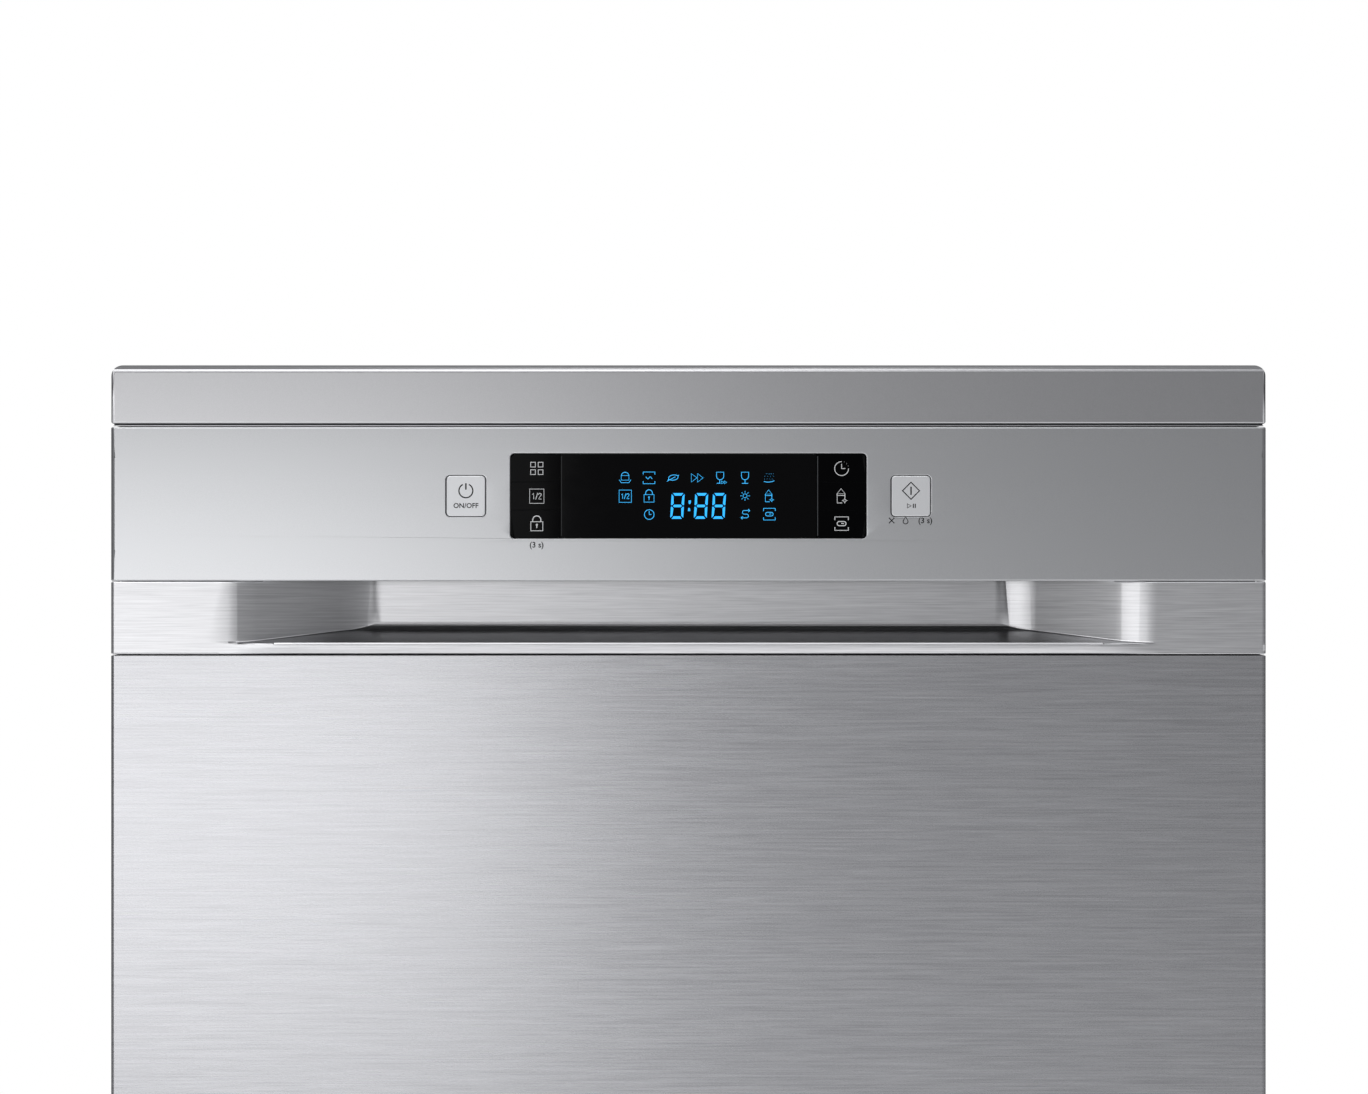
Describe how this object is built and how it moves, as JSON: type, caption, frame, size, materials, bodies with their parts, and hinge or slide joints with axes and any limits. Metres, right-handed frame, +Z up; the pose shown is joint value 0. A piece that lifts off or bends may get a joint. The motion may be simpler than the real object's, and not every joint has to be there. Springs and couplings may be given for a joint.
{
  "type": "dishwasher",
  "caption": "Free-standing dishwasher with its own worktop, a drop-down door with a drawn hand recess and a touch display, pull-out racks and spinning spray arms.",
  "frame": {"origin": "on the floor, under the middle of the machine", "axes": "+Z up, -Y towards the door's front, +X to the right seen from the front"},
  "size_m": [0.598, 0.6, 0.845],
  "materials": {
    "brushed_door": "fine horizontal brushed grain",
    "satin_fascia": "satin silver lacquer on moulded plastic",
    "satin_edge": "satin silver lacquer on a moulded worktop frame",
    "worktop_laminate": "fine textured laminate on chipboard",
    "cabinet_paint": "satin silver-grey enamel",
    "galvanised": "bare galvanised sheet",
    "screw_zinc": "bright zinc plate",
    "stainless_tub": "bright cold-rolled stainless",
    "mirror_glass": "black back-printed polycarbonate",
    "black_key": "gloss black moulded plastic",
    "silver_button": "satin silver lacquer on moulded plastic",
    "black_plastic": "moulded black plastic",
    "circuit_board": "green solder mask on glass-epoxy board",
    "white_plastic": "moulded white plastic",
    "grey_plastic": "moulded grey polypropylene",
    "pale_grey_plastic": "moulded pale grey polypropylene",
    "filter_steel": "etched stainless mesh",
    "rack_coating": "grey nylon-coated steel wire",
    "rail_steel": "rolled stainless section",
    "seal_rubber": "moulded EPDM rubber"
  },
  "bodies": {
    "cabinet": {"base_tray": "black_plastic", "rear_panel": "galvanised", "side_panel_left": "cabinet_paint", "side_panel_right": "cabinet_paint", "worktop_board": "worktop_laminate", "worktop_trim": "satin_edge", "kick_plate": "cabinet_paint", "tub": "stainless_tub", "tub_seal": "seal_rubber", "front_crossbar": "galvanised", "sump_housing": "black_plastic", "circulation_pump": "black_plastic", "drain_pump": "black_plastic", "salt_container": "white_plastic", "inlet_valve": "white_plastic", "drain_outlet": "black_plastic", "mains_inlet": "black_plastic", "hinge_brackets": "galvanised", "rack_rails": "rail_steel", "feed_duct": "grey_plastic", "filter_plate": "filter_steel", "cabinet_screws": "screw_zinc"},
    "door": {"door_outer_panel": "brushed_door", "handle_panel": "brushed_door", "control_panel": "satin_fascia", "display_window": "mirror_glass", "control_board": "circuit_board", "control_housing": "black_plastic", "door_liner": "stainless_tub", "dispenser_housing": "grey_plastic", "door_latch": "black_plastic", "hinge_arms": "galvanised"},
    "lower_rack_body": {"lower_rack": "rack_coating"},
    "upper_rack_body": {"upper_rack": "rack_coating", "upper_slides": "rail_steel", "upper_manifold": "grey_plastic"},
    "front_foot_left": {"front_foot_left": "black_plastic"},
    "front_foot_right": {"front_foot_right": "black_plastic"},
    "rear_foot_left": {"rear_foot_left": "black_plastic"},
    "rear_foot_right": {"rear_foot_right": "black_plastic"},
    "power_button": {"power_button": "silver_button"},
    "start_button": {"start_button": "silver_button"},
    "program_key": {"program_key": "black_key"},
    "half_load_key": {"half_load_key": "black_key"},
    "lock_key": {"lock_key": "black_key"},
    "delay_key": {"delay_key": "black_key"},
    "rinse_key": {"rinse_key": "black_key"},
    "tablet_key": {"tablet_key": "black_key"},
    "detergent_lid": {"detergent_lid": "pale_grey_plastic"},
    "rinse_aid_cap": {"rinse_aid_cap": "pale_grey_plastic"},
    "wheel_front_left": {"wheel_front_left": "grey_plastic"},
    "wheel_front_right": {"wheel_front_right": "grey_plastic"},
    "wheel_rear_left": {"wheel_rear_left": "grey_plastic"},
    "wheel_rear_right": {"wheel_rear_right": "grey_plastic"},
    "upper_spray_arm": {"upper_spray_arm": "grey_plastic"},
    "cutlery_tray": {"cutlery_tray": "grey_plastic"},
    "lower_spray_arm": {"lower_spray_arm": "grey_plastic"},
    "ceiling_spray_arm": {"ceiling_spray_arm": "grey_plastic"},
    "filter_cylinder": {"filter_cylinder": "grey_plastic"},
    "salt_cap": {"salt_cap": "grey_plastic"}
  },
  "joints": [
    {"name": "door_hinge", "type": "hinge", "parent": "cabinet", "child": "door", "pos_m": [0, -0.2844, 0.118], "axis": [1, 0, 0], "range_deg": [0, 90]},
    {"name": "lower_rack_slide", "type": "slide", "parent": "cabinet", "child": "lower_rack_body", "axis": [0, -1, 0], "range_m": [0, 0.151]},
    {"name": "upper_rack_slide", "type": "slide", "parent": "cabinet", "child": "upper_rack_body", "axis": [0, -1, 0], "range_m": [0, 0.4]},
    {"name": "cutlery_tray_slide", "type": "slide", "parent": "cabinet", "child": "cutlery_tray", "axis": [0, -1, 0], "range_m": [0, 0.38]},
    {"name": "wheel_front_left_roll", "type": "hinge", "parent": "lower_rack_body", "child": "wheel_front_left", "pos_m": [-0.2505, -0.144, 0.1737], "axis": [1, 0, 0], "continuous": true},
    {"name": "wheel_front_right_roll", "type": "hinge", "parent": "lower_rack_body", "child": "wheel_front_right", "pos_m": [0.2505, -0.144, 0.1737], "axis": [1, 0, 0], "continuous": true},
    {"name": "wheel_rear_left_roll", "type": "hinge", "parent": "lower_rack_body", "child": "wheel_rear_left", "pos_m": [-0.2505, 0.158, 0.1737], "axis": [1, 0, 0], "continuous": true},
    {"name": "wheel_rear_right_roll", "type": "hinge", "parent": "lower_rack_body", "child": "wheel_rear_right", "pos_m": [0.2505, 0.158, 0.1737], "axis": [1, 0, 0], "continuous": true},
    {"name": "lower_spray_arm_spin", "type": "hinge", "parent": "cabinet", "child": "lower_spray_arm", "pos_m": [0, 0.02, 0.173], "axis": [0, 0, 1], "continuous": true},
    {"name": "upper_spray_arm_spin", "type": "hinge", "parent": "upper_rack_body", "child": "upper_spray_arm", "pos_m": [0, 0.02, 0.481], "axis": [0, 0, 1], "continuous": true},
    {"name": "ceiling_spray_arm_spin", "type": "hinge", "parent": "cabinet", "child": "ceiling_spray_arm", "pos_m": [0, 0.02, 0.77], "axis": [0, 0, 1], "continuous": true},
    {"name": "filter_cylinder_turn", "type": "hinge", "parent": "cabinet", "child": "filter_cylinder", "pos_m": [0.048, -0.016, 0.1], "axis": [0, 0, 1], "range_deg": [0, 90]},
    {"name": "salt_cap_turn", "type": "hinge", "parent": "cabinet", "child": "salt_cap", "pos_m": [-0.165, 0.14, 0.145], "axis": [0, 0, 1], "range_deg": [0, 270]},
    {"name": "front_foot_left_screw", "type": "slide", "parent": "cabinet", "child": "front_foot_left", "axis": [0, 0, -1], "range_m": [0, 0.025]},
    {"name": "front_foot_right_screw", "type": "slide", "parent": "cabinet", "child": "front_foot_right", "axis": [0, 0, -1], "range_m": [0, 0.025]},
    {"name": "rear_foot_left_screw", "type": "slide", "parent": "cabinet", "child": "rear_foot_left", "axis": [0, 0, -1], "range_m": [0, 0.025]},
    {"name": "rear_foot_right_screw", "type": "slide", "parent": "cabinet", "child": "rear_foot_right", "axis": [0, 0, -1], "range_m": [0, 0.025]},
    {"name": "power_button_press", "type": "slide", "parent": "door", "child": "power_button", "axis": [0, 1, 0], "range_m": [0, 0.0015], "stiffness_N_per_m": 800},
    {"name": "start_button_press", "type": "slide", "parent": "door", "child": "start_button", "axis": [0, 1, 0], "range_m": [0, 0.0015], "stiffness_N_per_m": 800},
    {"name": "program_key_press", "type": "slide", "parent": "door", "child": "program_key", "axis": [0, 1, 0], "range_m": [0, 0.0008], "stiffness_N_per_m": 1000},
    {"name": "half_load_key_press", "type": "slide", "parent": "door", "child": "half_load_key", "axis": [0, 1, 0], "range_m": [0, 0.0008], "stiffness_N_per_m": 1000},
    {"name": "lock_key_press", "type": "slide", "parent": "door", "child": "lock_key", "axis": [0, 1, 0], "range_m": [0, 0.0008], "stiffness_N_per_m": 1000},
    {"name": "delay_key_press", "type": "slide", "parent": "door", "child": "delay_key", "axis": [0, 1, 0], "range_m": [0, 0.0008], "stiffness_N_per_m": 1000},
    {"name": "rinse_key_press", "type": "slide", "parent": "door", "child": "rinse_key", "axis": [0, 1, 0], "range_m": [0, 0.0008], "stiffness_N_per_m": 1000},
    {"name": "tablet_key_press", "type": "slide", "parent": "door", "child": "tablet_key", "axis": [0, 1, 0], "range_m": [0, 0.0008], "stiffness_N_per_m": 1000},
    {"name": "detergent_lid_slide", "type": "slide", "parent": "door", "child": "detergent_lid", "axis": [0, 0, -1], "range_m": [0, 0.058]},
    {"name": "rinse_aid_cap_turn", "type": "hinge", "parent": "door", "child": "rinse_aid_cap", "pos_m": [0.094, -0.2445, 0.426], "axis": [0, 1, 0], "range_deg": [0, 90]}
  ],
  "couplings": [
    {"joint": "lower_rack_slide", "follows": "door_hinge", "m_per_rad": 0.096},
    {"joint": "upper_rack_slide", "follows": "door_hinge", "m_per_rad": 0.2546},
    {"joint": "cutlery_tray_slide", "follows": "door_hinge", "m_per_rad": 0.2419},
    {"joint": "wheel_front_left_roll", "follows": "door_hinge", "ratio": 5.6471},
    {"joint": "wheel_front_right_roll", "follows": "door_hinge", "ratio": 5.6471},
    {"joint": "wheel_rear_left_roll", "follows": "door_hinge", "ratio": 5.6471},
    {"joint": "wheel_rear_right_roll", "follows": "door_hinge", "ratio": 5.6471}
  ]
}
